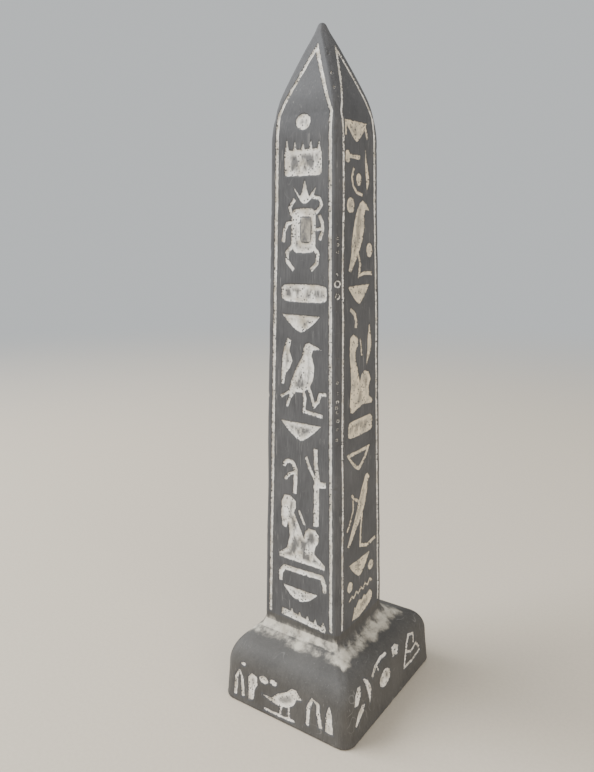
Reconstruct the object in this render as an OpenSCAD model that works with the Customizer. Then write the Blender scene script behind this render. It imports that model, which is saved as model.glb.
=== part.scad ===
// Souvenir obelisk, about a hand and a half tall. One casting in dark stone resin:
// a rounded plinth, a tapering square shaft and a pyramidal head. Shallow signs are
// sunk in all four sides, and a white wash is rubbed into every sunk sign and border line.
// The wide sides of the plinth run front to back. The front (-Y) and the back carry the
// same column of signs, and the right (+X) and left sides carry the other column.

/* [Overall] */
// Height from the table to the tip
height = 200; // [170:1:240]

/* [Plinth] */
// Width of the plinth where it meets the table, left to right
plinth_width = 47; // [42:0.5:60]
// Depth of the plinth where it meets the table, front to back
plinth_depth = 56.5; // [52:0.5:70]
// Height at which the plinth's sides would meet its sloping top
rim_height = 17; // [15:0.5:20]
// Radius that the rim is rolled to
rim_radius = 9; // [5:0.5:10]
// Lean of the plinth's sides, in degrees
side_lean = 4.5; // [1:0.5:8]
// Radius of the plinth's upright corners
plinth_corner = 5; // [3:0.25:8]

/* [Shaft] */
// Height at which the shaft stands clear of the plinth
foot_height = 22.5; // [21:0.5:26]
// Width of the shaft at its foot
foot_width = 28.3; // [25:0.1:32]
// Width of the shaft at its shoulder
shoulder_width = 22.3; // [19:0.1:25]
// Height of the pyramidal head above the shoulder
head_rise = 24.4; // [20:0.2:34]
// Radius that the shoulder is rounded to
shoulder_radius = 36; // [12:1:45]
// Radius of the blunt tip
tip_radius = 1.3; // [0.8:0.1:2]
// How far each corner of the shaft is cut back
corner_cut = 1.2; // [0.8:0.1:2]
// How far the shaft stands left of the plinth's middle
shift_left = 2.4; // [0:0.1:3]
// How far the shaft stands in front of the plinth's middle
shift_front = 0.9; // [0:0.1:3]

/* [Signs and lines] */
// Depth of the sunk signs and lines
sunk_depth = 0.6; // [0.4:0.05:0.9]
// Thickness of the white wash on their floors
wash_thickness = 0.4; // [0.2:0.05:0.6]
// Width of the border lines
line_width = 0.9; // [0.6:0.1:1.4]
// Distance of a border line's middle from the corner cut
line_inset = 1.6; // [1.2:0.1:2]

/* [Node] */
// Which sub-component to draw

/* [Hidden] */
shoulder_height = height - head_rise;
lean = atan((foot_width - shoulder_width) / 2 / (shoulder_height - foot_height));
head_reach = norm([shoulder_width / 2, head_rise - tip_radius]);
head_lean = acos(tip_radius / head_reach) - atan2(head_rise - tip_radius, shoulder_width / 2);
shoulder_turns = 12;
tip_turns = 6;
rim_turns = 9;
slope_run = 3;
corner_step = 22.5;
root_height = 8;
reach = plinth_width + plinth_depth;
wash_top = sunk_depth - wash_thickness;
line_start = 4;
line_tip_gap = 7;
line_mitre = 1.3;
flank_lift = 2.2;
heron_drop = 1.1;
column_swell = 1.8;
swell_span = 230;
front_lean = [0, -0.25];
right_lean = [1.3, -2.1];
drawn_rise = 153.1;
drawn_foot = 10.9;
drawn_shoulder = 7.9;
drawn_end = 18.5;
drawn_flank = 23.25;
drawn_rim = 17;
line_reach = corner_cut + line_inset + line_width / 2;
end_room = (plinth_width / 2 - plinth_corner) / drawn_end;
flank_room = (plinth_depth / 2 - plinth_corner) / drawn_flank;
rim_room = rim_height / drawn_rim;
sign_rise = (shoulder_height - foot_height) / drawn_rise;
STONE = [0.42, 0.42, 0.43];
WASH = [0.86, 0.84, 0.79];

// Points on an ellipse about c, from angle a to angle b
function arc(c, r, a, b, n = 10) =
  [for (i = [0:n]) let (t = a + (b - a) * i / n) c + [r[0] * cos(t), r[1] * sin(t)]];

// The outline of a groove of width w that follows the points p
function groove(p, w) =
  let (n = len(p) - 1,
       side = [for (i = [0:n])
                 let (d = p[min(i + 1, n)] - p[max(i - 1, 0)])
                 [-d[1], d[0]] * w / 2 / norm(d)])
  concat([for (i = [0:n]) p[i] + side[i]], [for (i = [n:-1:0]) p[i] - side[i]]);

// A rounded block about c that reaches r each way. It's an oval at k = 2 and squarer above
function block(c, r, k = 5, n = 24) =
  [for (i = [0:n - 1]) let (t = 360 * i / n)
     c + [r[0] * sign(cos(t)) * pow(abs(cos(t)), 2 / k),
          r[1] * sign(sin(t)) * pow(abs(sin(t)), 2 / k)]];

// A basket that hangs d below a level rim of half width w about c. Its sides run to a blunt
// point at k = 1.4 and are round at k = 2
function basket(c, w, d, k = 1.4, n = 12) =
  [for (i = [0:n]) let (t = 2 * i / n - 1) c + [w * t, -d * (1 - pow(abs(t), k))]];

// A spike of half width w from its foot p up to its tip q
function spike(p, w, q) = [p - [w, 0], p + [w, 0], q];

// How much wider the room between the border lines is than the signs are drawn for, at
// the drawn height v
function side_room(v) =
  let (t = v / drawn_rise)
  (foot_width / 2 * (1 - t) + shoulder_width / 2 * t - line_reach)
    / (drawn_foot * (1 - t) + drawn_shoulder * t);

// One outline of a sign, which grows with the side that it is sunk in
module cut(p) polygon([for (q = p) [q[0] * side_room(q[1]), q[1] * sign_rise]]);

// Where the points p of a freely drawn sign come to stand: its column spreads upwards by
// column_swell towards mid-height, and starts lean[0] to the side and drifts by lean[1]
function settled(p, lean) =
  [for (q = p) q + [lean[0] + lean[1] * q[1] / drawn_rise,
                    column_swell * sin(180 * q[1] / swell_span)]];

module front_cut(p) cut(settled(p, front_lean));
module right_cut(p) cut(settled(p, right_lean));

// One outline of a sign on the plinth's front and back, and on its long flanks
module plate(p) polygon([for (q = p) [q[0] * end_room, q[1] * rim_room]]);
module long_plate(p) polygon([for (q = p) [q[0] * flank_room, (q[1] + flank_lift) * rim_room]]);

module round_cut(c, r) cut(arc(c, r, 0, 330, 11));

// ---------------------------------------------------------------- the casting

// Centre of the arc that rounds the shoulder, as [half width, height]
function shoulder_centre() =
  let (middle = (lean + head_lean) / 2, half_turn = (head_lean - lean) / 2)
  [shoulder_width / 2, shoulder_height]
    - shoulder_radius / cos(half_turn) * [cos(middle), sin(middle)];

// The shaft's side from its root up to the tip, sunk by d, as [half width, height]
function side_line(d) =
  concat([[foot_width / 2 + (foot_height - root_height) * tan(lean) - d / cos(lean),
           root_height]],
         arc(shoulder_centre(), [1, 1] * (shoulder_radius - d), lean, head_lean,
             shoulder_turns),
         arc([0, height - tip_radius], [1, 1] * (tip_radius - d), head_lean, 90, tip_turns));

// The same line across the corners, which are cut back
function corner_line() =
  [for (p = side_line(0)) [max(p[0] * sqrt(2) - corner_cut / sqrt(2), 0.01), p[1]]];

// A bar across the casting: its section runs up the points p on the right, and up q on
// the left
module bar(p, q) {
  rotate([90, 0, 0])
    linear_extrude(height = reach, center = true)
      polygon(concat(p, [for (i = [len(q) - 1:-1:0]) [-q[i][0], q[i][1]]]));
}

module shaft_mass() {
  side = side_line(0);
  corner = corner_line();
  translate([-shift_left, -shift_front, 0])
    intersection_for(turn = [0, 45, 90, 135])
      if (turn % 90 == 0) rotate([0, 0, turn]) bar(side, side);
      else rotate([0, 0, turn]) bar(corner, corner);
}

// How far the plinth's outline on the table reaches in the direction t
function table_reach(t) =
  (plinth_width / 2 - plinth_corner) * abs(cos(t))
    + (plinth_depth / 2 - plinth_corner) * abs(sin(t)) + plinth_corner;

// How far the shaft's foot reaches in the direction t
function foot_reach(t) =
  foot_width / 2 * (abs(cos(t)) + abs(sin(t))) - shift_left * cos(t) - shift_front * sin(t);

// The plinth's side and top in the direction t, sunk by d: up the leaning side, over the
// rolled rim and up the slope into the shaft, as [distance from the middle, height]
function rim_line(t, d) =
  let (rim = [table_reach(t) - rim_height * tan(side_lean), rim_height],
       slope = atan2(foot_height - rim_height, rim[0] - foot_reach(t)),
       middle = (side_lean + 90 - slope) / 2,
       half_turn = (90 - slope - side_lean) / 2,
       centre = rim - rim_radius / cos(half_turn) * [cos(middle), sin(middle)])
  concat([[table_reach(t) - d / cos(side_lean), 0]],
         arc(centre, [1, 1] * (rim_radius - d), side_lean, 90 - slope, rim_turns),
         [[foot_reach(t) - slope_run, foot_height + slope_run * tan(slope) - d / cos(slope)]]);

module plinth_mass() {
  intersection_for(turn = [0:corner_step:179])
    rotate([0, 0, turn]) bar(rim_line(turn, 0), rim_line(turn + 180, 0));
}

// ------------------------------------------------- how a sign is sunk in a side

// The skin of one side between two lines, given as [distance out, height] points
module skin(outer, inner, w) {
  rotate([90, 0, 90])
    linear_extrude(height = w, center = true)
      polygon(concat([for (p = outer) [-p[0], p[1]]],
                     [for (i = [len(inner) - 1:-1:0]) [-inner[i][0], inner[i][1]]]));
}

// A sign on one side of the shaft, between depths a and b. Side 0 is the front, 1 the
// right side, 2 the back and 3 the left side.
module on_shaft(side, a, b) {
  translate([-shift_left, -shift_front, 0])
    rotate([0, 0, 90 * side])
      intersection() {
        translate([0, 0, foot_height])
          rotate([90, 0, 0]) linear_extrude(height = reach / 2) children();
        skin(side_line(a), side_line(b), foot_width);
      }
}

module on_plinth(side, a, b) {
  turn = 90 * side - 90;
  rotate([0, 0, 90 * side])
    intersection() {
      rotate([90, 0, 0]) linear_extrude(height = reach) children();
      skin(rim_line(turn, a), rim_line(turn, b), reach);
    }
}

module front_and_back(a, b) for (side = [0, 2]) on_shaft(side, a, b) children();
module right_and_left(a, b) for (side = [1, 3]) on_shaft(side, a, b) children();
module plinth_ends(a, b) for (side = [0, 2]) on_plinth(side, a, b) children();
module plinth_flanks(a, b) for (side = [1, 3]) on_plinth(side, a, b) children();

// ---------------------------------------- signs of the front column, top to bottom

module sun_disc_sign() round_cut([-0.2, 151], [2.3, 2.1]);

module game_board_sign() {
  cut(block([-0.1, 140.5], [6, 3.4], 10));
  for (i = [0:4]) let (u = -5.3 + 2.6 * i)
    cut(spike([u, 143], 0.7, [u, i == 0 ? 147 : 146]));
}

module scarab_sign() {
  front_cut([[-2.7, 132.3], [-0.7, 129.9], [0, 131.2], [0.8, 134.2], [1.6, 131.2], [2.2, 130],
             [4.6, 132.5], [3.4, 129.7], [1.8, 128.4], [0.7, 127.8], [-0.6, 128.6], [-1.5, 130]]);
  difference() {
    union() {
      cut(block([0.25, 122.6], [4, 6]));
      front_cut(groove([[-2.5, 129.2], [-4.1, 127.2], [-3.7, 125.4], [-1.8, 124.2]], 0.9));
      front_cut(groove([[-2.6, 123.4], [-5, 122.7], [-6, 120.6], [-6.3, 117.8]], 1));
      front_cut(groove([[3.2, 129.8], [5.6, 129.4], [6.3, 127.6], [5, 126], [2.8, 124.8]], 1));
      front_cut(groove([[5.6, 125], [6.7, 122.6], [6.7, 120.8], [5.9, 118.4]], 1));
      front_cut(groove([[4, 121], [6.9, 121.4]], 0.8));
      front_cut(groove([[-2.2, 117.6], [-5, 115], [-4.9, 112.4], [-2.7, 110]], 1.1));
      front_cut(groove([[3, 117.6], [5.3, 114.6], [5.1, 112], [3, 110.2]], 1.1));
    }
    cut(block([1, 122.9], [1.9, 3.6]));
  }
}

module bolt_sign() cut(block([0.6, 105.5], [7.6, 2.5]));

module upper_basket_sign() cut(basket([-0.4, 99.3], 6.4, 4.9));

module cobra_feather_sign()
  front_cut([[-4.7, 90.8], [-3.6, 90.2], [-4.1, 87.4], [-3.1, 84.4], [-4.1, 82], [-5.5, 80.4],
       [-6.1, 77.2], [-6.9, 77.4], [-6.7, 84.3], [-6, 88]]);

module vulture_sign() {
  front_cut([[0.9, 88.8], [2.2, 90], [3.6, 89.6], [6.9, 88.3], [3.8, 88], [3.5, 86.4], [4.4, 83],
       [4, 79.5], [2.7, 77], [0.5, 75.5], [-1.9, 75.4], [-3.3, 73.6], [-4.3, 74.6],
       [-3.4, 78.5], [-1.6, 82.5], [0.4, 86]]);
  front_cut(groove([[-2.8, 75.8], [-5, 74.7], [-7.2, 73.4]], 0.8));
  front_cut(groove([[-3, 75], [-4.1, 73], [-5, 70.8]], 0.8));
  front_cut(groove([[2.2, 78.4], [3.6, 74.8], [4.8, 71.6]], 0.9));
  front_cut(groove([[4.3, 71.9], [5.8, 73.5], [6.5, 75.6], [8.6, 75.9]], 1.1));
  front_cut(groove([[0.6, 76.6], [1.4, 74], [1, 70]], 0.9));
  front_cut(groove([[0.6, 70.2], [4.2, 69.7], [7.5, 69.4]], 1.1));
}

module lower_basket_sign() cut(basket([-0.2, 67.8], 7, 5.4));

module hooked_plant_sign() {
  cut(groove(concat(arc([-4.2, 52.6], [2.2, 2.9], 160, 10, 8), [[-2, 49], [-2.3, 45.5]]), 1.3));
  front_cut(groove([[-1.9, 51.2], [-4.1, 50.3], [-5.7, 48.3]], 0.9));
}

module seated_figure_sign() {
  front_cut([[-6.9, 41.4], [-6, 43.4], [-3.9, 43.6], [-1.9, 42.2], [-1.7, 40.2], [-2.4, 38.4],
       [-0.8, 35.5], [1.2, 31.4], [1.7, 33.4], [3, 34.8], [5.4, 34.7], [6.6, 33.2], [6.4, 31],
       [5.4, 29.5], [5, 27.2], [8.9, 24.5], [8.9, 23.1], [-7.8, 23.3], [-7.9, 24.6], [-5, 26.6],
       [-3.8, 31], [-4.6, 35.5], [-5.2, 33.2], [-6.6, 33.4], [-7.1, 37]]);
  front_cut(groove([[-0.6, 39.6], [0.6, 37.2], [1.5, 35.4]], 0.7));
}

module sceptre_sign() {
  front_cut([[4.7, 36], [6.5, 36], [6.5, 48.6], [4.7, 48.6]]);
  front_cut([[4.5, 47.5], [8.9, 48.5], [8.7, 50], [4.8, 49.8]]);
  front_cut(groove([[1.8, 56.6], [3.4, 53], [6, 48.8]], 0.9));
  front_cut(groove([[5.2, 59.6], [5.3, 55], [6.2, 49]], 1.3));
}

module sky_sign() {
  front_cut([[-6.4, 19.4], [8.2, 19.7], [8.4, 21.3], [-6.2, 21]]);
  front_cut([[-6.4, 20.8], [-7.9, 18.6], [-7.9, 15.4], [-6.7, 15.4], [-6.5, 18], [-5.2, 19.8]]);
  front_cut([[8.3, 21.1], [9.5, 18.8], [9.6, 16], [8.4, 16], [8.1, 18.2], [7.2, 19.9]]);
}

module crescent_sign() cut(basket([0, 14.8], 6.4, 3.9, 2));

module comb_sign() {
  front_cut([[-6.8, 6.6], [9.2, 4.4], [9.2, 3], [-6.9, 4.2]]);
  for (i = [0:4]) let (u = -3 + 2.9 * i, v = 5.2 - 0.2 * i)
    cut(spike([u, v - 0.6], 1, [u, v + 2.4]));
}

module border_lines_sign() {
  h = line_width / 2;
  edge = corner_cut + line_inset;
  a = foot_width / 2 - edge;
  b = shoulder_width / 2 - edge;
  top = shoulder_height - foot_height;
  meet = top + head_rise - line_tip_gap;
  k = line_width * line_mitre;
  polygon([[-a - h, line_start], [-b - h, top], [0, meet + k], [b + h, top],
           [a + h, line_start], [a - h, line_start], [b - h, top], [0, meet - k],
           [-b + h, top], [-a + h, line_start]]);
}

// ---------------------------------- signs of the right side's column, top to bottom

module bull_head_sign() {
  cut(basket([-1.4, 151.2], 6, 5.2));
  cut(groove([[-6.6, 151.2], [-7, 149.4], [-7.1, 147.2]], 0.9));
  cut(groove([[2.6, 150.8], [4, 149], [4.4, 147]], 1.1));
}

module mallet_sign() {
  cut(block([-6.3, 141.9], [1.2, 1.6], 3));
  cut(groove([[-5.8, 142], [0.4, 142]], 1.1));
}

module spindle_sign()
  right_cut([[4.1, 143.4], [4.8, 139.5], [6.1, 135.4], [5.5, 132.6], [4.7, 131.4], [4.3, 135],
       [3.8, 139]]);

module curl_sign()
  right_cut(groove([[-2.5, 137.4], [-3.6, 135], [-3.1, 132.7], [-1, 130.9], [2.3, 130.4]], 0.9));

module small_ovals_sign() {
  round_cut([-0.3, 136.2], [1.5, 1.7]);
  round_cut([-5, 129.3], [2.1, 2.1]);
}

module falcon_sign() {
  right_cut([[0.8, 128.2], [2.4, 129], [4.6, 127.9], [6.5, 126.2], [3.9, 126.4], [3, 124.8],
       [3.2, 121.6], [1.6, 117.6], [-0.6, 114.4], [-2.4, 112], [-4.6, 109.4], [-5.8, 110],
       [-4.4, 113.8], [-3.8, 118.2], [-2.4, 123], [-0.8, 126.4]]);
  right_cut(groove([[-0.8, 115.2], [0.4, 111.6], [-0.4, 108]], 0.9));
  right_cut(groove([[-1, 108.2], [3, 108.9], [7.2, 108.6]], 1));
  round_cut([5.5, 117], [1.7, 2]);
}

module bowl_sign() cut(basket([-0.6, 107.4], 5.9, 5.2));

module snake_sign()
  right_cut(groove([[-5.4, 99.3], [-3.1, 97.8], [-2.2, 95.8], [-2.7, 93.8]], 1.2));

module tall_feather_sign()
  right_cut([[5.1, 94.6], [5.9, 91.5], [6.6, 88.3], [5.4, 85], [3.5, 82.2], [4.1, 86.2], [4.3, 90.5]]);

module dog_sign() {
  right_cut([[-5.6, 91.2], [-4, 92], [-1.6, 90.9], [-1, 88.8], [-2.6, 87.6], [-2.9, 85], [-1.4, 81.5],
       [-0.4, 77.5], [0.7, 79.8], [2.6, 80.8], [5, 79.9], [5.9, 77.6], [4.8, 75.4], [5, 72.6],
       [7.2, 71.4], [7, 70.1], [1, 70.8], [-4.6, 69.2], [-5.8, 69.6], [-6.2, 72], [-5.4, 77],
       [-5.4, 82], [-6, 87]]);
  right_cut(groove([[-0.2, 90.4], [0.6, 87.6], [0.7, 85.4]], 0.7));
}

module oblong_sign() cut(block([0.2, 65.8], [7.1, 2.6]));

module leaf_ring_sign()
  difference() {
    cut(basket([-0.9, 58.8], 7, 6.5));
    cut(basket([-1.1, 57.7], 4.9, 3.9));
  }

module heron_sign() translate([0, -heron_drop * sign_rise]) {
  right_cut([[2.6, 49.8], [4, 49.8], [5, 48.4], [3.7, 47.4], [3.2, 44], [1.6, 40], [-1, 36.6],
       [-4.6, 33.2], [-8.1, 29.8], [-8.9, 30.6], [-6.4, 34.6], [-4.2, 37.8], [-2.2, 42],
       [0.2, 46.2]]);
  right_cut(groove([[-6.1, 45.9], [-4.2, 44], [-1.4, 42.4]], 0.9));
  right_cut(groove([[-5.2, 44.2], [-5.2, 41], [-7.2, 37.4], [-8.8, 35.2]], 0.8));
  right_cut(groove([[0.2, 38.4], [-0.7, 34], [-1.2, 28]], 0.9));
  right_cut(groove([[-1.6, 28.4], [3, 26.8], [8.4, 27.4]], 1.1));
}

module pear_sign() {
  cut(basket([-0.7, 23.6], 6.3, 5.8));
  round_cut([6.3, 18.6], [1.7, 1.6]);
}

module water_sign() {
  cut(groove([for (i = [0:10]) [-7 + 1.4 * i, 12.2 + 0.13 * i + (i % 2 == 0 ? -0.7 : 0.7)]], 0.9));
  round_cut([-6.6, 16.4], [1.5, 1.8]);
}

module spiked_crescent_sign()
  right_cut([[-6.8, 4.2], [-5.4, 6.6], [-5.2, 8.4], [-4.2, 7.6], [-2.4, 9.6], [-0.6, 8.8],
             [0.6, 10], [2.2, 9], [4.6, 10], [6.1, 8.2], [5.8, 6.2], [1.6, 4.6], [-2.6, 3.8]]);

// ----------------------------------------- signs of the plinth, from left to right

module doorway_sign() {
  plate(groove([[-18.4, 2], [-18, 8.4], [-17, 10.8], [-15.8, 8.4], [-15.3, 2.4]], 1.1));
  plate(arc([-15.6, 13.2], [0.9, 0.6], 0, 315, 7));
}

module plinth_feather_sign()
  plate([[-13.1, 2.2], [-13.4, 9.8], [-12.2, 11.4], [-10.2, 10.8], [-9.9, 8.2], [-11, 6.2],
         [-11.3, 2.8]]);

module pellets_sign() {
  plate(arc([-7.5, 11], [1.7, 1.2], 0, 330, 11));
  plate(arc([-3.8, 11.4], [1.4, 1], 0, 330, 11));
}

module quail_sign() {
  plate([[-8, 6.2], [-4.2, 6.4], [-2.4, 8.4], [0.8, 10.2], [3, 12.2], [4.6, 12.1], [5.4, 10.9],
         [6.8, 9.9], [4.8, 9.2], [3.8, 7], [1.6, 5.4], [-1.4, 4.9], [-4.4, 5.1]]);
  plate(groove([[-0.4, 5.8], [-1, 2]], 0.7));
  plate(groove([[2.1, 6], [2.4, 2]], 0.7));
  plate(groove([[-7, 1.8], [-0.8, 1.8], [4.4, 2.1]], 0.8));
}

module crook_sign()
  plate(groove([[9, 3], [9.2, 8.8], [10.3, 11.8], [12.3, 11], [12.7, 7.4], [13.7, 4]], 1.2));

module reed_sign()
  plate([[15.2, 3.6], [15.3, 9.2], [16.1, 12], [17.2, 9.4], [17.9, 3.6]]);

module long_leaf_sign()
  long_plate([[-23.2, 9.6], [-21.8, 12.2], [-19.4, 13.6], [-18.2, 13.2], [-19.2, 11], [-21.4, 9]]);

module stemmed_drop_sign()
  long_plate([[-23.2, 3.4], [-21.2, 6.6], [-18.8, 7.9], [-17.2, 7.2], [-18.4, 5.2], [-20.6, 4],
         [-22.6, 2.6]]);

module flank_feather_sign()
  long_plate([[-16, 14.2], [-14, 13], [-13, 10.2], [-14.2, 5.6], [-15.2, 9.4]]);

module pronged_sign() {
  long_plate(groove([[-11.6, 12.4], [-8.6, 13.8], [-4.4, 14.4], [-1, 14.2]], 0.8));
  long_plate(groove([[-7.9, 14], [-7.5, 12.2]], 0.8));
}

module round_drop_sign() long_plate(arc([-4.4, 8.2], [3.5, 2.7], 0, 330, 11));

module small_leaf_sign()
  long_plate([[1.4, 11.8], [2.4, 14], [4.8, 14.4], [6.4, 13.2], [4.4, 11.4]]);

module kneeling_figure_sign() {
  long_plate(groove([[8.6, 4.6], [9.8, 8], [11, 11], [13.6, 13], [16.4, 12.2], [15.8, 9.2]], 1));
  long_plate(groove([[10.4, 8.8], [14, 7.2], [17.6, 8.2], [19.8, 5.6]], 1));
  long_plate(groove([[8.2, 4.2], [14, 3.8], [20.4, 4.6]], 0.9));
}

// -------------------------------------------------------------- the sub-components

module casting() {
  color(STONE)
    difference() {
      union() {
        plinth_mass();
        shaft_mass();
      }
      front_and_back(-1, sunk_depth) {
        sun_disc_sign(); game_board_sign(); scarab_sign(); bolt_sign(); upper_basket_sign();
        cobra_feather_sign(); vulture_sign(); lower_basket_sign(); hooked_plant_sign();
        seated_figure_sign(); sceptre_sign(); sky_sign(); crescent_sign(); comb_sign();
        border_lines_sign();
      }
      right_and_left(-1, sunk_depth) {
        bull_head_sign(); mallet_sign(); spindle_sign(); curl_sign(); small_ovals_sign();
        falcon_sign(); bowl_sign(); snake_sign(); tall_feather_sign(); dog_sign();
        oblong_sign(); leaf_ring_sign(); heron_sign(); pear_sign(); water_sign();
        spiked_crescent_sign(); border_lines_sign();
      }
      plinth_ends(-1, sunk_depth) {
        doorway_sign(); plinth_feather_sign(); pellets_sign(); quail_sign(); crook_sign();
        reed_sign();
      }
      plinth_flanks(-1, sunk_depth) {
        long_leaf_sign(); stemmed_drop_sign(); flank_feather_sign(); pronged_sign();
        round_drop_sign(); small_leaf_sign(); kneeling_figure_sign();
      }
    }
}

module border_lines() {
  color(WASH) {
    front_and_back(wash_top, sunk_depth) border_lines_sign();
    right_and_left(wash_top, sunk_depth) border_lines_sign();
  }
}
module wash_sun_disc() color(WASH) front_and_back(wash_top, sunk_depth) sun_disc_sign();
module wash_game_board() color(WASH) front_and_back(wash_top, sunk_depth) game_board_sign();
module wash_scarab() color(WASH) front_and_back(wash_top, sunk_depth) scarab_sign();
module wash_bolt() color(WASH) front_and_back(wash_top, sunk_depth) bolt_sign();
module wash_upper_basket() color(WASH) front_and_back(wash_top, sunk_depth) upper_basket_sign();
module wash_cobra_feather() color(WASH) front_and_back(wash_top, sunk_depth) cobra_feather_sign();
module wash_vulture() color(WASH) front_and_back(wash_top, sunk_depth) vulture_sign();
module wash_lower_basket() color(WASH) front_and_back(wash_top, sunk_depth) lower_basket_sign();
module wash_hooked_plant() color(WASH) front_and_back(wash_top, sunk_depth) hooked_plant_sign();
module wash_seated_figure() color(WASH) front_and_back(wash_top, sunk_depth) seated_figure_sign();
module wash_sceptre() color(WASH) front_and_back(wash_top, sunk_depth) sceptre_sign();
module wash_sky() color(WASH) front_and_back(wash_top, sunk_depth) sky_sign();
module wash_crescent() color(WASH) front_and_back(wash_top, sunk_depth) crescent_sign();
module wash_comb() color(WASH) front_and_back(wash_top, sunk_depth) comb_sign();
module wash_bull_head() color(WASH) right_and_left(wash_top, sunk_depth) bull_head_sign();
module wash_mallet() color(WASH) right_and_left(wash_top, sunk_depth) mallet_sign();
module wash_spindle() color(WASH) right_and_left(wash_top, sunk_depth) spindle_sign();
module wash_curl() color(WASH) right_and_left(wash_top, sunk_depth) curl_sign();
module wash_small_ovals() color(WASH) right_and_left(wash_top, sunk_depth) small_ovals_sign();
module wash_falcon() color(WASH) right_and_left(wash_top, sunk_depth) falcon_sign();
module wash_bowl() color(WASH) right_and_left(wash_top, sunk_depth) bowl_sign();
module wash_snake() color(WASH) right_and_left(wash_top, sunk_depth) snake_sign();
module wash_tall_feather() color(WASH) right_and_left(wash_top, sunk_depth) tall_feather_sign();
module wash_dog() color(WASH) right_and_left(wash_top, sunk_depth) dog_sign();
module wash_oblong() color(WASH) right_and_left(wash_top, sunk_depth) oblong_sign();
module wash_leaf_ring() color(WASH) right_and_left(wash_top, sunk_depth) leaf_ring_sign();
module wash_heron() color(WASH) right_and_left(wash_top, sunk_depth) heron_sign();
module wash_pear() color(WASH) right_and_left(wash_top, sunk_depth) pear_sign();
module wash_water() color(WASH) right_and_left(wash_top, sunk_depth) water_sign();
module wash_spiked_crescent() color(WASH) right_and_left(wash_top, sunk_depth) spiked_crescent_sign();
module wash_doorway() color(WASH) plinth_ends(wash_top, sunk_depth) doorway_sign();
module wash_plinth_feather() color(WASH) plinth_ends(wash_top, sunk_depth) plinth_feather_sign();
module wash_pellets() color(WASH) plinth_ends(wash_top, sunk_depth) pellets_sign();
module wash_quail() color(WASH) plinth_ends(wash_top, sunk_depth) quail_sign();
module wash_crook() color(WASH) plinth_ends(wash_top, sunk_depth) crook_sign();
module wash_reed() color(WASH) plinth_ends(wash_top, sunk_depth) reed_sign();
module wash_long_leaf() color(WASH) plinth_flanks(wash_top, sunk_depth) long_leaf_sign();
module wash_stemmed_drop() color(WASH) plinth_flanks(wash_top, sunk_depth) stemmed_drop_sign();
module wash_flank_feather() color(WASH) plinth_flanks(wash_top, sunk_depth) flank_feather_sign();
module wash_pronged() color(WASH) plinth_flanks(wash_top, sunk_depth) pronged_sign();
module wash_round_drop() color(WASH) plinth_flanks(wash_top, sunk_depth) round_drop_sign();
module wash_small_leaf() color(WASH) plinth_flanks(wash_top, sunk_depth) small_leaf_sign();
module wash_kneeling_figure() color(WASH) plinth_flanks(wash_top, sunk_depth) kneeling_figure_sign();

casting();
border_lines();
wash_sun_disc();
wash_game_board();
wash_scarab();
wash_bolt();
wash_upper_basket();
wash_cobra_feather();
wash_vulture();
wash_lower_basket();
wash_hooked_plant();
wash_seated_figure();
wash_sceptre();
wash_sky();
wash_crescent();
wash_comb();
wash_bull_head();
wash_mallet();
wash_spindle();
wash_curl();
wash_small_ovals();
wash_falcon();
wash_bowl();
wash_snake();
wash_tall_feather();
wash_dog();
wash_oblong();
wash_leaf_ring();
wash_heron();
wash_pear();
wash_water();
wash_spiked_crescent();
wash_doorway();
wash_plinth_feather();
wash_pellets();
wash_quail();
wash_crook();
wash_reed();
wash_long_leaf();
wash_stemmed_drop();
wash_flank_feather();
wash_pronged();
wash_round_drop();
wash_small_leaf();
wash_kneeling_figure();
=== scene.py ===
import bpy
import numpy as np
from mathutils import Matrix, Vector


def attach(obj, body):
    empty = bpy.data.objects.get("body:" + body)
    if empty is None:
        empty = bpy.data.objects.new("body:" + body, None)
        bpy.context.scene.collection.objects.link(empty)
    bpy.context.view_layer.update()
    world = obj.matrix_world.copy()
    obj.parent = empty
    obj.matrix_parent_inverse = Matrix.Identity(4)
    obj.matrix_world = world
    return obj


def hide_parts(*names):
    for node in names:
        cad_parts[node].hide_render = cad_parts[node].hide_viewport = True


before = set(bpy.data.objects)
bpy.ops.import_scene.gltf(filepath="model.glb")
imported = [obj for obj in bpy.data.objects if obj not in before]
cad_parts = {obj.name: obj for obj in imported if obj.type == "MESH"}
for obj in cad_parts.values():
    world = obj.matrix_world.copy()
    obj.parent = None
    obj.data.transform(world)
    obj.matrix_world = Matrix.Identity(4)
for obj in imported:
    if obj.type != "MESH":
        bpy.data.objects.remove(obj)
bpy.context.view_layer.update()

# ---------------------------------------------------------------- the casting
# A souvenir obelisk cast in one piece from dark stone-filled resin: a rolled
# plinth, a tapered shaft with cut corners and a blunt, slightly leaning point.
# It is worked out as one grid, rings of points carried from under the plinth
# up to the tip, and shown as five meshes that meet edge to edge.

mm = 0.001
height, foot_height, shoulder_height = 200.0, 22.5, 175.6
plinth_half, plinth_corner = np.array([23.5, 28.25]), 4.2
rim_height, rim_radius, wall_lean = 17.0, 9.0, np.radians(4.5)
foot_half, shoulder_half, shoulder_radius, tip_radius = 14.15, 11.15, 36.0, 1.3
shaft_axis, corner_cut, soft_edge = np.array([-2.4, -0.9]), 1.2, 0.5
tip_shift = np.array([-0.8, -0.5])
cove_radius, cove_top, head_swell = 3.2, 3.4, 0.4
across_face, across_strip = 112, 12
columns = across_face + across_strip

side = np.repeat(np.arange(4), columns)
place = np.tile(np.arange(columns) - columns // 2, 4)
outward = np.array([[0, -1], [1, 0], [0, 1], [-1, 0]])
along = np.array([[1, 0], [0, 1], [-1, 0], [0, -1]])


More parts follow.
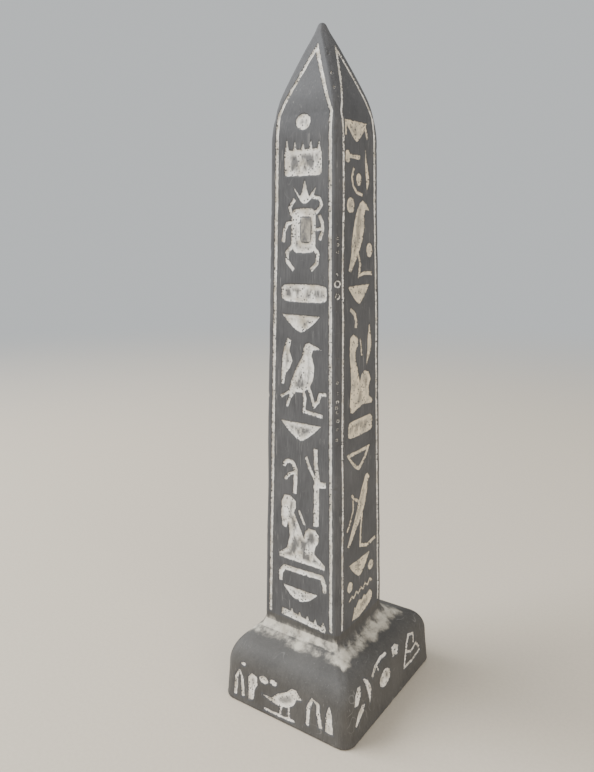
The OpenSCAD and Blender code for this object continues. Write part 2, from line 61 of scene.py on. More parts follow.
def shaft_section(half, cut):
    """Plan of the shaft, a row of points for each half width: a square whose corners are
    cut straight across, eased inwards by a parabola near both edges of each cut."""
    half, cut = half[:, None], cut[:, None]
    run = across_face // 2
    on_strip = np.abs(place) > run
    turn = np.sign(place)
    share = np.clip((np.abs(place) - run) / across_strip, 0, None)
    flat = np.clip(place / run, -1, 1)
    u = np.where(on_strip, turn * ((half - cut) + share * cut), flat * (half - cut))
    n = np.where(on_strip, half - share * cut, half + 0 * flat)
    room = np.where(on_strip, share * cut * 1.414, (1 - np.abs(flat)) * (half - cut))
    ease = np.minimum(soft_edge, 0.8 * 0.707 * cut)
    ease_share = 0.1913
    drop = ease_share * np.clip(ease - room, 0, None) ** 2 / np.maximum(ease, 1e-6)
    u = u - turn * drop * np.sin(np.pi / 8)
    n = n - drop * np.cos(np.pi / 8)
    return u[..., None] * along[side] + n[..., None] * outward[side]


def side_line(step):
    """Half width and height up one side: a leaning line, an arc of the shoulder's radius
    tangent to it and to the point's slope, that slope, and an arc round the tip."""
    lean = np.arctan((foot_half - shoulder_half) / (shoulder_height - foot_height))
    rise = height - shoulder_height - tip_radius
    head = np.arccos(tip_radius / np.hypot(shoulder_half, rise)) - np.arctan2(rise, shoulder_half)
    middle = (lean + head) / 2
    hub = (np.array([shoulder_half, shoulder_height])
           - shoulder_radius / np.cos((head - lean) / 2) * np.array([np.cos(middle), np.sin(middle)]))

    def arc(centre, radius, start, end, count):
        a = np.linspace(start, end, count)
        return centre + radius * np.stack([np.cos(a), np.sin(a)], 1)

    shoulder = arc(hub, shoulder_radius, lean, head, int(shoulder_radius * (head - lean) / step))
    tip = arc(np.array([0, height - tip_radius]), tip_radius, head, np.pi / 2 - 0.12, 9)
    low = foot_height + cove_top
    z = np.linspace(low, shoulder[0, 1], int((shoulder[0, 1] - low) / step))
    wall = np.stack([shoulder[0, 0] + (shoulder[0, 1] - z) * np.tan(lean), z], 1)
    t = np.linspace(0, 1, int(np.linalg.norm(tip[0] - shoulder[-1]) / step))[:, None]
    slope = shoulder[-1] + (tip[0] - shoulder[-1]) * t
    return np.concatenate([wall, shoulder[1:-1], slope, tip[1:]])


def shaft_rings(line):
    """Rings of the shaft at each half width and height of a side line, its centre drifting
    from the shoulder to the tip in proportion to the height climbed, and the head
    swelling by a parabola between its two ends."""
    half, z = line.T
    share = np.clip((z - shoulder_height) / (height - shoulder_height), 0, 1)
    centre = shaft_axis + share[:, None] * tip_shift
    half = half + head_swell * 4 * share * (1 - share)
    plan = shaft_section(half, np.minimum(corner_cut, 0.55 * half)) + centre[:, None]
    return np.concatenate([plan, np.broadcast_to(z[:, None, None], plan.shape[:2] + (1,))], 2)


def plinth_outline():
    """Plan of the plinth at the table, its points even along a rectangle with quarter-circle
    corners, and the direction that each faces."""
    points, facings = [], []
    for k in range(4):
        half_u, half_n = plinth_half[::-1] if k % 2 else plinth_half
        straight, arc = half_u - plinth_corner, plinth_corner * np.pi / 4
        run = np.arange(columns) - columns / 2
        s = run / (columns / 2) * (straight + arc)
        bend = np.sign(s) * np.clip(np.abs(s) - straight, 0, None) / plinth_corner
        u = np.clip(s, -straight, straight) + plinth_corner * np.sin(bend)
        n = half_n - plinth_corner * (1 - np.cos(bend))
        points.append(u[:, None] * along[k] + n[:, None] * outward[k])
        facings.append(np.sin(bend)[:, None] * along[k] + np.cos(bend)[:, None] * outward[k])
    return np.concatenate(points), np.concatenate(facings)


def plinth_rings():
    """Rings of the plinth: each column's profile is a leaning wall, an arc of the rim's radius,
    a straight slope and a hollow arc into the shaft, laid out square to the wall."""
    outline, facing = plinth_outline()
    lean = (foot_half - shoulder_half) / (shoulder_height - foot_height)
    foot = shaft_section(np.array([foot_half]), np.array([corner_cut]))[0] + shaft_axis
    room = ((outline - foot) * facing).sum(1)
    rim = rim_height * np.tan(wall_lean)
    slope = np.arctan2(foot_height - rim_height, room - rim)
    turn = np.pi / 2 - wall_lean - slope
    reach = rim_radius * np.tan(turn / 2)
    hollow = np.pi / 2 - slope
    back = cove_radius * np.tan(hollow / 2)
    wall_end = np.stack([rim - reach * np.sin(wall_lean), rim_height - reach * np.cos(wall_lean)])
    level_reach = 0 * reach
    rim_hub = wall_end + rim_radius * np.stack([np.cos(wall_lean) + level_reach,
                                                level_reach - np.sin(wall_lean)])
    cove_start = np.stack([room - back * np.cos(slope), foot_height - back * np.sin(slope)])
    cove_hub = cove_start + cove_radius * np.stack([-np.sin(slope), np.cos(slope)])
    rows = []
    ease = 0.7
    for a in np.linspace(0, np.pi / 2, 5):
        rows.append(np.stack([ease * (1 - np.sin(a)) + 0 * room, ease * (1 - np.cos(a)) + 0 * room]))
    start = rows[-1]
    for t in np.linspace(0, 1, 30)[1:]:
        rows.append(start + (wall_end - start) * t)
    for t in np.linspace(0, 1, 34)[1:]:
        a = np.pi - wall_lean - turn * t
        rows.append(rim_hub + rim_radius * np.stack([np.cos(a), np.sin(a)]))
    start = rows[-1]
    for t in np.linspace(0, 1, 18)[1:]:
        rows.append(start + (cove_start - start) * t)
    for t in np.linspace(0, 1, 14)[1:]:
        a = slope - np.pi / 2 + hollow * t
        rows.append(cove_hub + cove_radius * np.stack([np.cos(a), np.sin(a)]))
    start = rows[-1]
    top = np.stack([room, foot_height + cove_top + 0 * room])
    for t in np.linspace(0, 1, 7)[1:-1]:
        rows.append(start + (top - start) * t)
    depth, z = np.stack(rows).transpose(1, 0, 2)
    half = foot_half - np.clip(z - foot_height, 0, None) * lean
    share = np.clip(depth / room, 0, 1)[..., None]
    wall = np.stack([shaft_section(np.full(1, foot_half), np.full(1, corner_cut))[0]] * len(z))
    inner = wall * (half / foot_half)[..., None] + shaft_axis
    plan = inner + (outline - foot)[None] * (1 - share)
    return np.concatenate([plan, z[..., None]], 2)


body_rings = plinth_rings()
inwards = np.linspace(0.06, 0.97, 9)[:, None, None]
underside = body_rings[0] * np.concatenate([np.repeat(inwards, 2, 2), 0 * inwards], 2)
underside[..., 2] = 0.25 * (1 - inwards[..., 0] ** 6)
shaft_step = 0.275
shaft_start = len(underside) + len(body_rings)
grid = np.concatenate([underside, body_rings, shaft_rings(side_line(shaft_step))])


def square_to(points):
    """Direction that a grid of points faces: the cross product of its steps round and up."""
    round_step = np.roll(points, -1, 1) - np.roll(points, 1, 1)
    facing = np.cross(round_step, np.gradient(points, axis=0))
    return facing / np.maximum(np.linalg.norm(facing, axis=2, keepdims=True), 1e-12)


def lumps(u, v, size, seed):
    """Soft random relief from -1 to 1: a seeded lattice of heights, with a cubic ease between."""
    lattice = np.random.default_rng(seed).uniform(-1, 1, (64, 64))
    u, v = u / size, v / size
    i, j = np.floor(u).astype(int), np.floor(v).astype(int)
    s, t = u - i, v - j
    s, t = s * s * (3 - 2 * s), t * t * (3 - 2 * t)
    a, b = lattice[i % 64, j % 64], lattice[(i + 1) % 64, j % 64]
    c, d = lattice[i % 64, (j + 1) % 64], lattice[(i + 1) % 64, (j + 1) % 64]
    return (a * (1 - s) + b * s) * (1 - t) + (c * (1 - s) + d * s) * t


# Hand finishing leaves the sides gently uneven and the cut corners nicked.
ring_side = side[None]
span = (grid[..., :2] * along[side]).sum(2)
level = grid[..., 2]
facing = square_to(grid)
uneven = (0.16 * lumps(span + 97 * ring_side, level, 17.0, 3)
          + 0.05 * lumps(span + 31 * ring_side, level, 4.5, 4))
on_cut = np.clip((np.abs(place) - across_face // 2 + 3) / 3, 0, 1)[None] * (level > foot_height + 2)
nicks = on_cut * np.clip(lumps(span + 53 * ring_side, level, 1.9, 5) - 0.55, 0, None) * 0.45
quiet = np.clip(level / 2, 0, 1)
worn_down, shrinkage = 0.14, 0.9995
grid += facing * (np.where(level > 0.3, uneven - worn_down, 0) * quiet - nicks)[..., None]
grid[..., :2] *= shrinkage

# ---------------------------------------------- the signs sunk into the casting
# Each sign and border line is a shallow recess cast with the body and later filled
# with thin white wash. Their outlines are those of the fills.

sign_nodes = [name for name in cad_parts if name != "casting"]


def outline(node, k):
    """Edges of a fill's outer skin as one side shows them: of the triangles that face that
    way and lie in its sector, the edges that only one of them uses."""
    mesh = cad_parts[node].data
    mesh.calc_loop_triangles()
    corners = np.zeros(len(mesh.vertices) * 3)
    mesh.vertices.foreach_get("co", corners)
    triangles = np.zeros(len(mesh.loop_triangles) * 3, int)
    mesh.loop_triangles.foreach_get("vertices", triangles)
    points, weld = np.unique(np.round(corners.reshape(-1, 3) / mm, 3), axis=0, return_inverse=True)
    triangles = weld.reshape(-1)[triangles.reshape(-1, 3)]
    a, b, c = points[triangles].transpose(1, 0, 2)
    normal = np.cross(b - a, c - a)
    normal /= np.maximum(np.linalg.norm(normal, axis=1, keepdims=True), 1e-9)
    centre = (a + b + c) / 3
    high = centre[:, 2] > foot_height
    local = np.where(high[:, None], (centre[:, :2] - shaft_axis) / foot_half, centre[:, :2] / plinth_half)
    nearest = (local @ outward.T).argmax(1)
    skin = triangles[(normal[:, :2] @ outward[k] > 0.3) & (nearest == k)]
    edges = np.sort(np.concatenate([skin[:, [0, 1]], skin[:, [1, 2]], skin[:, [2, 0]]]), 1)
    pairs, uses = np.unique(edges, axis=0, return_counts=True)
    ends = points[pairs[uses == 1]]
    return np.stack([ends[..., :2] @ along[k], ends[..., 2]], 2)


def distance_to(edges, u, z):
    """Signed distance from points to an outline, below zero inside: the least distance to
    any edge, its sign from how many edges a level line crosses."""
    p = np.stack([u, z], 1)[:, None]
    a, b = edges[None, :, 0], edges[None, :, 1]
    run = b - a
    t = np.clip(((p - a) * run).sum(2) / np.maximum((run ** 2).sum(2), 1e-12), 0, 1)[..., None]
    least = np.sqrt(((p - a - t * run) ** 2).sum(2).min(1))
    astride = (a[..., 1] > p[..., 1]) != (b[..., 1] > p[..., 1])
    rise = np.where(np.abs(run[..., 1]) < 1e-9, 1e-9, run[..., 1])
    crossing = a[..., 0] + (p[..., 1] - a[..., 1]) * run[..., 0] / rise
    inside = (astride & (p[..., 0] < crossing)).sum(1) % 2 == 1
    return np.where(inside, -least, least)


sign_depth, sign_margin = 0.30, 2.5
inlay = np.full(grid.shape[:2], sign_margin)
owner = np.full(grid.shape[:2], -1)
for number, name in enumerate(sign_nodes):
    for k in range(4):
        edges = outline(name, k)
        if not len(edges):
            continue
        low, high = edges.reshape(-1, 2).min(0) - 1.2, edges.reshape(-1, 2).max(0) + 1.2
        near = ((ring_side == k) & (span > low[0]) & (span < high[0]) & (level > low[1])
                & (level < high[1]) & (facing[..., :2] @ outward[k] > 0.2))
        away = distance_to(edges, span[near], level[near])
        nearer = away < inlay[near]
        inlay[near] = np.where(nearer, away, inlay[near])
        owner[near] = np.where(nearer, number, owner[near])

# Air bubbles broke the surface of the near cut corner, and wash lodged round their rims.
corner_column = columns
# Each has a height, a place across the strip in columns from its middle, and a radius.
bubbles = ((191.0, 0, 0.25), (185.5, 0, 0.3), (181.5, 0, 0.3), (143.0, 0, 0.3), (141.5, 1, 0.3),
           (139.5, 0, 0.35), (133.5, -1, 0.3), (131.0, 0, 0.8), (127.5, 0, 0.65), (103.5, 0, 0.3),
           (100.5, 1, 0.3), (98.0, 0, 0.35), (96.5, -2, 0.35), (95.0, 0, 0.3), (92.5, 1, 0.35),
           (90.0, 0, 0.3), (87.0, -1, 0.35))
for bubble_height, across, size in bubbles:
    spot = grid[np.abs(level[shaft_start:, corner_column] - bubble_height).argmin() + shaft_start,
                corner_column + across]
    gap = np.linalg.norm(grid - spot, axis=2) / size
    close = gap < 2.2
    grid[close] -= (facing[close].T * (0.45 * size * np.exp(-(gap[close] * 1.3) ** 2))).T
    inlay = np.where(close, np.minimum(inlay, 0.6 * np.abs(gap - 1.0) - 0.15), inlay)

ragged = (0.085 * lumps(span + 11 * ring_side, level, 0.55, 6)
          + 0.05 * lumps(span + 11 * ring_side, level, 1.7, 7))
inlay += ragged
sunk = np.clip((0.10 - inlay) / 0.34, 0, 1)
sunk = sunk * sunk * (3 - 2 * sunk)
floor_relief = 0.05 * lumps(span + 71 * ring_side, level, 1.1, 8) * sunk
facing = square_to(grid)
grid -= facing * (sunk * sign_depth + floor_relief)[..., None]
facing = square_to(grid)

# Wash left behind where the cloth didn't reach: round the foot of the shaft.
off_foot = np.abs(grid[..., :2] - shaft_axis).max(2) - foot_half
band = np.exp(-((off_foot - 2.9) / 3.1) ** 2) * (level > 15) * (level < foot_height + 1)
haze = np.exp(-((level - 23.5) / 2.6) ** 2) * (off_foot < 1.5)
strength = np.array([0.85, 1.0, 0.8, 0.9])[side][None]
patchy = (0.92 + 0.22 * lumps(span + 19 * ring_side, level, 6.5, 9)
          + 0.16 * lumps(span + 19 * ring_side, level, 2.2, 10))
corner_foot = np.array([foot_half + 2.2, -foot_half - 2.2]) + shaft_axis
wedge = np.exp(-((grid[..., :2] - corner_foot) ** 2).sum(2) / 5.0) * (level > 15)
wedge = wedge * (level < foot_height + 1)
haze_strength = np.array([0.6, 0.12, 0.45, 0.15])[side][None]
residue = np.clip(band * strength * patchy + haze * haze_strength + 0.5 * wedge, 0, 1)
# A thin film of it is left on the scarab's raised back.
back_middle, back_half, film = (1, 122.9), (1.7, 3.3), 0.75
along_face = (grid[..., :2] - shaft_axis) @ along[0] * np.array([1, 0, -1, 0])[ring_side]
beetle_back = ((ring_side % 2 == 0) & (np.abs(along_face - back_middle[0]) < back_half[0])
               & (np.abs(level - foot_height - back_middle[1]) < back_half[1]))
residue = np.where(beetle_back, film, residue)

rows, ring = grid.shape[:2]
spots = np.concatenate([grid.reshape(-1, 3), [[0, 0, 0.25]], [grid[-1].mean(0) + [0, 0, 0.02]]])
spot_facing = np.concatenate([facing.reshape(-1, 3), [[0, 0, -1]], [[0, 0, 1]]])
spot_inlay = np.concatenate([inlay.ravel(), [sign_margin] * 2])
spot_residue = np.concatenate([residue.ravel(), [0, 0]])
low_row, column = np.meshgrid(np.arange(rows - 1), np.arange(ring), indexing="ij")
next_column = (column + 1) % ring
quads = np.stack([low_row * ring + column, low_row * ring + next_column,
                  (low_row + 1) * ring + next_column, (low_row + 1) * ring + column], 2).reshape(-1, 4)
quad_inlay = spot_inlay[quads]
first = quad_inlay.argmin(1)
quad_owner = np.concatenate([owner.ravel(), [-1, -1]])[quads[np.arange(len(quads)), first]]
quad_owner = np.where(quad_inlay.min(1) < 0.2, quad_owner, -1)
quad_row, quad_side = low_row.ravel(), side[column.ravel()]
round_column = np.arange(ring)
under_pole = np.stack([round_column, np.full(ring, rows * ring), (round_column + 1) % ring], 1)
tip_pole = np.stack([round_column, (round_column + 1) % ring, np.full(ring, rows * ring + 1)], 1)
tip_pole[:, :2] += (rows - 1) * ring


def cut_piece(name, quads_used, triangles=()):
    """A mesh of part of the casting's grid: the faces asked for, only the points they use,
    and the whole grid's facings, so pieces shade as one surface where they meet."""
    faces = [quads_used.ravel()] + [np.asarray(t).ravel() for t in triangles]
    loops = np.concatenate(faces)
    used, loops = np.unique(loops, return_inverse=True)
    sizes = np.concatenate([np.full(len(quads_used), 4)] + [np.full(len(t), 3) for t in triangles])
    mesh = bpy.data.meshes.new(name)
    mesh.vertices.add(len(used))
    mesh.vertices.foreach_set("co", (spots[used] * mm).ravel())
    mesh.loops.add(len(loops))
    mesh.loops.foreach_set("vertex_index", loops.ravel().astype(np.int32))
    mesh.polygons.add(len(sizes))
    mesh.polygons.foreach_set("loop_start", (np.cumsum(sizes) - sizes).astype(np.int32))
    mesh.update(calc_edges=True)
    mesh.shade_smooth()
    for key, values in (("inlay", spot_inlay), ("residue", spot_residue)):
        kept = values[used].astype(np.float32)
        mesh.attributes.new(key, "FLOAT", "POINT").data.foreach_set("value", kept)
    mesh.normals_split_custom_set_from_vertices(spot_facing[used].tolist())
    piece = bpy.data.objects.new(name, mesh)
    bpy.context.scene.collection.objects.link(piece)
    return piece


# Every finish is built from the same few effects.
def add(tree, kind, **settings):
    """A node of a kind, with its properties and socket values set by name."""
    node = tree.nodes.new("ShaderNode" + kind)
    for key, value in settings.items():
        key = key.replace("_", " ") if key.replace("_", " ") in node.inputs else key
        if key in node.inputs:
            if hasattr(value, "is_output"):
                tree.links.new(value, node.inputs[key])
            else:
                node.inputs[key].default_value = value
        else:
            setattr(node, key, value)
    return node


def maths(tree, operation, a, b=0.0, clamp=False):
    """The result of one sum."""
    node = add(tree, "Math", operation=operation, use_clamp=clamp)
    for socket, value in zip(node.inputs, (a, b)):
        if hasattr(value, "is_output"):
            tree.links.new(value, socket)
        else:
            socket.default_value = value
    return node.outputs[0]


def mix(tree, share, a, b):
    """One colour going over to another."""
    node = add(tree, "Mix", data_type="RGBA")
    for socket, value in ((node.inputs["Factor"], share), (node.inputs[6], a), (node.inputs[7], b)):
        if hasattr(value, "is_output"):
            tree.links.new(value, socket)
        else:
            socket.default_value = value
    return node.outputs[2]


def step(tree, value, low, high):
    """0 below low and 1 above high, eased between."""
    node = add(tree, "MapRange", interpolation_type="SMOOTHSTEP", Value=value)
    node.inputs["From Min"].default_value = low
    node.inputs["From Max"].default_value = high
    return node.outputs[0]


def noise(tree, stretch, scale, detail=3.0, roughness=0.55, turn=(0, 0, 0)):
    """Noise on Object coordinates, in features to the metre, stretched along the axes."""
    place = add(tree, "TexCoord").outputs["Object"]
    mapped = add(tree, "Mapping", Vector=place, Scale=stretch, Rotation=turn).outputs[0]
    return add(tree, "TexNoise", Vector=mapped, Scale=scale, Detail=detail, Roughness=roughness).outputs[0]


def group(name, inputs, outputs):
    """An empty node group with named sockets, and its input and output nodes."""
    tree = bpy.data.node_groups.new(name, "ShaderNodeTree")
    for key, (kind, value) in inputs.items():
        socket = tree.interface.new_socket(key, in_out="INPUT", socket_type="NodeSocket" + kind)
        socket.default_value = value
    for key, kind in outputs.items():
        tree.interface.new_socket(key, in_out="OUTPUT", socket_type="NodeSocket" + kind)
    return tree, tree.nodes.new("NodeGroupInput").outputs, tree.nodes.new("NodeGroupOutput").inputs


# Brushed stone: dark ground, long upright strokes from sanding, short bright
# scratches, mottling and fine pale dust.
brushed, given, result = group(
    "brushed_stone",
    {"Dark": ("Color", (0.06, 0.06, 0.06, 1)), "Light": ("Color", (0.15, 0.15, 0.15, 1)),
     "Strokes": ("Float", 1.0), "Scuffs": ("Float", 0.1)},
    {"Colour": "Color", "Roughness": "Float", "Height": "Float"})
strokes = noise(brushed, (1, 1, 0.06), 4200, 3)
broad = noise(brushed, (1, 1, 0.16), 900, 4)
mottle = noise(brushed, (1, 1, 1), 75, 5)
dust = step(brushed, noise(brushed, (1, 1, 0.7), 2300, 2), 0.70, 0.78)
scratch = step(brushed, noise(brushed, (1, 1, 0.03), 3200, 2, turn=(0.10, 0.07, 0)), 0.68, 0.74)
shade = maths(brushed, "MULTIPLY", strokes, 0.38)
shade = maths(brushed, "ADD", shade, maths(brushed, "MULTIPLY", broad, 0.30))
shade = maths(brushed, "ADD", shade, maths(brushed, "MULTIPLY", mottle, 0.45))
ground = mix(brushed, step(brushed, shade, 0.30, 0.86), given["Dark"], given["Light"])
pale = maths(brushed, "MULTIPLY", maths(brushed, "MAXIMUM", maths(brushed, "MULTIPLY", scratch, 0.5),
                                        maths(brushed, "MULTIPLY", dust, 0.22)), given["Strokes"])
crease = maths(brushed, "ABSOLUTE", maths(brushed, "SUBTRACT", noise(brushed, (1, 1, 1), 170, 1), 0.5))
crease = maths(brushed, "SUBTRACT", 1.0, step(brushed, crease, 0.002, 0.012))
where = step(brushed, noise(brushed, (1, 1, 1), 120, 2, turn=(0.7, 0.4, 0.9)), 0.53, 0.66)
scuff = maths(brushed, "MULTIPLY", maths(brushed, "MULTIPLY", crease, where), given["Scuffs"])
pale = maths(brushed, "MAXIMUM", pale, scuff)
ground = mix(brushed, pale, ground, (0.42, 0.41, 0.39, 1))
brushed.links.new(ground, result["Colour"])
rough = maths(brushed, "ADD", maths(brushed, "MULTIPLY", broad, 0.25), 0.50)
brushed.links.new(maths(brushed, "ADD", rough, maths(brushed, "MULTIPLY", pale, 0.2)), result["Roughness"])
brushed.links.new(maths(brushed, "ADD", maths(brushed, "MULTIPLY", strokes, 0.5), broad), result["Height"])

# White wash: where it lies, how it is pitted and worn through, and its colour; also a band of painted
# shade round each recess's rim.
washed, given, result = group(
    "white_wash",
    {"White": ("Color", (0.62, 0.60, 0.56, 1)), "Worn": ("Float", 0.4), "Pits": ("Float", 1.0),
     "Inlay": ("Float", 1.0), "Residue": ("Float", 0.0)},
    {"Colour": "Color", "Mask": "Float", "Rim": "Float", "Height": "Float"})
frayed = maths(washed, "MULTIPLY", maths(washed, "SUBTRACT", noise(washed, (1, 1, 1), 2600, 4), 0.5), 0.62)
edge = maths(washed, "ADD", given["Inlay"], frayed)
fill = maths(washed, "SUBTRACT", 1.0, step(washed, edge, -0.10, 0.02))
holes = add(washed, "TexVoronoi", Vector=add(washed, "TexCoord").outputs["Object"], Scale=1250.0)
pits = maths(washed, "SUBTRACT", 1.0, step(washed, holes.outputs["Distance"], 0.26, 0.36))
cluster = step(washed, noise(washed, (1, 1, 1), 520, 2), 0.42, 0.54)
fill = maths(washed, "SUBTRACT", fill, maths(washed, "MULTIPLY", maths(washed, "MULTIPLY", pits, cluster),
                                             given["Pits"]), clamp=True)
deep = step(washed, maths(washed, "MULTIPLY", given["Inlay"], -1.0), 0.6, 1.9)
rubbed = step(washed, noise(washed, (1, 1, 0.4), 380, 4), 0.40, 0.56)
rubbed = maths(washed, "MULTIPLY", maths(washed, "MULTIPLY", rubbed, deep), given["Worn"])
fill = maths(washed, "MULTIPLY", fill, maths(washed, "SUBTRACT", 1.0, rubbed))
smear = step(washed, maths(washed, "MULTIPLY", noise(washed, (1, 1, 0.6), 330, 5, 0.7),
                           maths(washed, "MULTIPLY", given["Residue"], 2.0)), 0.45, 1.0)
mask = maths(washed, "MAXIMUM", fill, maths(washed, "MULTIPLY", smear, 0.72))
washed.links.new(mask, result["Mask"])
tone = noise(washed, (1, 1, 1), 300, 4)
cream = mix(washed, step(washed, tone, 0.35, 0.75), given["White"], (0.50, 0.45, 0.36, 1))
washed.links.new(cream, result["Colour"])
# The rim mask: a band of painted shade just round each recess's edge, where the sunk wall would be in
# shadow.
beyond = maths(washed, "SUBTRACT", 1.0, step(washed, edge, 0.06, 0.2))
rim = maths(washed, "MULTIPLY", step(washed, edge, -0.16, -0.02), beyond)
washed.links.new(rim, result["Rim"])
washed.links.new(maths(washed, "SUBTRACT", noise(washed, (1, 1, 1), 1500, 3), pits), result["Height"])


def finish_of(name, dark, light, white, strokes=1.0, scuffs=0.08, worn=0.4, pits=1.0,
              wash_rough=0.82):
    """Brushed stone with white wash lying over it where the casting is sunk or smeared, and painted shade
    darkening the stone round each recess's rim.
    """
    material = bpy.data.materials.new(name)
    material.use_nodes = True
    tree = material.node_tree
    shader = tree.nodes["Principled BSDF"]
    stone = add(tree, "Group", node_tree=brushed, Dark=(*dark, 1), Light=(*light, 1), Strokes=strokes,
                Scuffs=scuffs).outputs
    wash = add(tree, "Group", node_tree=washed, White=(*white, 1), Worn=worn, Pits=pits,
               Inlay=add(tree, "Attribute", attribute_name="inlay").outputs["Fac"],
               Residue=add(tree, "Attribute", attribute_name="residue").outputs["Fac"]).outputs
    # Painted shade: the stone is darkened to near black along each recess's rim.
    rim_shaded_stone = mix(tree, maths(tree, "MULTIPLY", wash["Rim"], 0.22), stone["Colour"], (0.045, 0.042, 0.04, 1))
    tree.links.new(mix(tree, wash["Mask"], rim_shaded_stone, wash["Colour"]), shader.inputs["Base Color"])
    bare = maths(tree, "SUBTRACT", 1.0, wash["Mask"])
    rough = maths(tree, "ADD", maths(tree, "MULTIPLY", stone["Roughness"], bare),
                  maths(tree, "MULTIPLY", wash["Mask"], wash_rough))
    tree.links.new(rough, shader.inputs["Roughness"])
    shader.inputs["Specular IOR Level"].default_value = 0.32
    relief = maths(tree, "ADD", maths(tree, "MULTIPLY", stone["Height"], bare),
                   maths(tree, "MULTIPLY", maths(tree, "MULTIPLY", wash["Height"], wash["Mask"]), 1.6))
    bump = add(tree, "Bump", Height=relief, Strength=0.5, Distance=0.00007)
    tree.links.new(bump.outputs[0], shader.inputs["Normal"])
    return material


dark_stone, light_stone = (0.053, 0.053, 0.056), (0.118, 0.117, 0.120)
cast_stone = finish_of("cast_stone", dark_stone, light_stone, (0.74, 0.68, 0.57))
plinth_stone = finish_of("plinth_stone", (0.056, 0.053, 0.050), (0.118, 0.112, 0.104), (0.80, 0.74, 0.62),
                         strokes=0.6, scuffs=0.3)
stone_names = ("stone_front", "stone_right", "stone_back", "stone_left")
bare_quads = quad_owner < 0
on_shaft = quad_row >= shaft_start
for k, name in enumerate(stone_names):
    stone = cut_piece(name, quads[bare_quads & on_shaft & (quad_side == k)], [tip_pole[side == k]])
    stone.data.materials.append(cast_stone)
    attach(stone, "root")
    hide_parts("casting")
stone = cut_piece("stone_plinth", quads[bare_quads & ~on_shaft], [under_pole])
stone.data.materials.append(plinth_stone)
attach(stone, "root")
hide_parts("casting")

# ----------------------------------------------------------- the white fills
# Thin white wash dried in every sign and border line, pitted and rubbed through in
# the middle of the larger ones.


def fill_sign(name, material):
    """The part of the grid sunk for one node, filled with wash."""
    piece = cut_piece("fill_" + name.replace("wash_", ""), quads[quad_owner == sign_nodes.index(name)])
    piece.data.materials.append(material)
    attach(piece, "root")
    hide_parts(name)
    return piece


wash_white = finish_of("wash_white", dark_stone, light_stone, (0.90, 0.87, 0.81), worn=0.9)
# The flank signs get a darker, warmer copy of the same wash: painted warm shade, not a different paint.
wash_cream = finish_of("wash_cream", dark_stone, light_stone, (0.84, 0.72, 0.53), worn=0.6)
wash_plinth = finish_of("wash_plinth", dark_stone, light_stone, (0.88, 0.83, 0.75), worn=0.7)
for name in sign_nodes:
    skin_rows = quad_row[quad_owner == sign_nodes.index(name)]
    skin_sides = quad_side[quad_owner == sign_nodes.index(name)]
    if np.median(skin_rows) < shaft_start:
        fill_sign(name, wash_plinth)
    # Signs lying only on the two flanks take the copy with painted warm shade.
    elif name != "border_lines" and np.all(skin_sides % 2 == 1):
        fill_sign(name, wash_cream)
    else:
        fill_sign(name, wash_white)

# ------------------------------------------------------- floor, light, camera
# A plain pale table that fades into the studio's grey, soft daylight from the left and
# a weak warm bounce from the right.

angles = np.linspace(0, 2 * np.pi, 97)[:-1]
radii = np.array([0.06, 0.2, 0.5, 1.5, 6.0, 30.0])
disc = np.stack([np.outer(radii, np.cos(angles)), np.outer(radii, np.sin(angles)), np.zeros((6, 96))], 2)
table = bpy.data.meshes.new("table")
ring_of = np.arange(5)[:, None] * 96
turn_of = np.arange(96)[None]
cells = np.stack([ring_of + turn_of, ring_of + 96 + turn_of, ring_of + 96 + (turn_of + 1) % 96,
                  ring_of + (turn_of + 1) % 96], 2).reshape(-1, 4)
table.from_pydata(disc.reshape(-1, 3).tolist(), [], cells.tolist() + [list(range(96))])
table.update()
floor = bpy.data.objects.new("table", table)
bpy.context.scene.collection.objects.link(floor)
paint = bpy.data.materials.new("table_paint")
paint.use_nodes = True
tree = paint.node_tree
shader = tree.nodes["Principled BSDF"]
shader.inputs["Roughness"].default_value = 0.6
grain = noise(tree, (1, 1, 1), 900, 3)
tree.links.new(mix(tree, step(tree, grain, 0.2, 0.8), (0.63, 0.55, 0.44, 1), (0.67, 0.59, 0.475, 1)),
               shader.inputs["Base Color"])
far = add(tree, "VectorMath", operation="LENGTH")
tree.links.new(add(tree, "TexCoord").outputs["Object"], far.inputs[0])
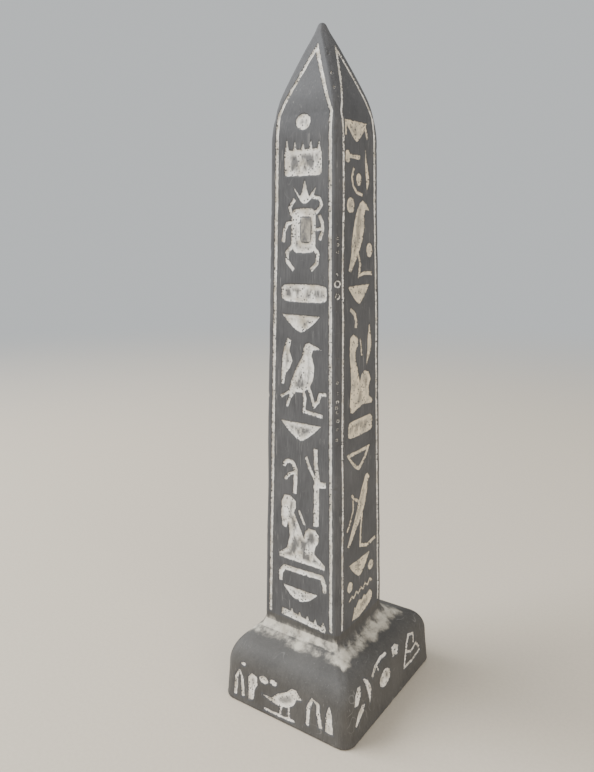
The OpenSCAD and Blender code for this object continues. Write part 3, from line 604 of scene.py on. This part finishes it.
glow = add(tree, "Emission", Color=(0.62, 0.645, 0.655, 1), Strength=1.0)
blend = add(tree, "MixShader")
tree.links.new(step(tree, far.outputs["Value"], 0.22, 0.9), blend.inputs[0])
tree.links.new(shader.outputs[0], blend.inputs[1])
tree.links.new(glow.outputs[0], blend.inputs[2])
tree.links.new(blend.outputs[0], tree.nodes["Material Output"].inputs["Surface"])
floor.data.materials.append(paint)

world = bpy.data.worlds.new("studio")
bpy.context.scene.world = world
world.use_nodes = True
world.node_tree.nodes["Background"].inputs[0].default_value = (0.62, 0.645, 0.655, 1)
world.node_tree.nodes["Background"].inputs[1].default_value = 1.0


def soft_light(name, place, size, watts, colour):
    """A square lamp that faces the middle of the shaft."""
    lamp = bpy.data.lights.new(name, "AREA")
    lamp.shape, lamp.size, lamp.energy, lamp.color = "SQUARE", size, watts, colour
    holder = bpy.data.objects.new(name, lamp)
    holder.location = place
    holder.rotation_euler = (Vector((0, 0, 0.1)) - Vector(place)).to_track_quat("-Z", "Y").to_euler()
    bpy.context.scene.collection.objects.link(holder)


soft_light("window", (-0.75, -0.45, 0.85), 0.8, 22.0, (0.96, 0.98, 1.0))
soft_light("bounce", (0.9, -0.5, 0.45), 0.8, 6.0, (1.0, 0.92, 0.83))

lens = bpy.data.cameras.new("camera")
lens.sensor_fit = "VERTICAL"
lens.angle = 2 * np.arctan(386 / 686.2)
lens.clip_start = 0.01
camera = bpy.data.objects.new("camera", lens)
bpy.context.scene.collection.objects.link(camera)
bpy.context.scene.camera = camera
yaw, pitch, roll = 0.606, 0.229, -0.006
ahead = Vector((-np.sin(yaw) * np.cos(pitch), np.cos(yaw) * np.cos(pitch), -np.sin(pitch)))
right = Vector((np.cos(yaw), np.sin(yaw), 0))
upward = right.cross(ahead)
turned_right = right * np.cos(roll) + upward * np.sin(roll)
turned_up = upward * np.cos(roll) - right * np.sin(roll)
camera.matrix_world = (Matrix.Translation((0.10636, -0.17246, 0.14637))
                       @ Matrix((turned_right, turned_up, -ahead)).transposed().to_4x4())
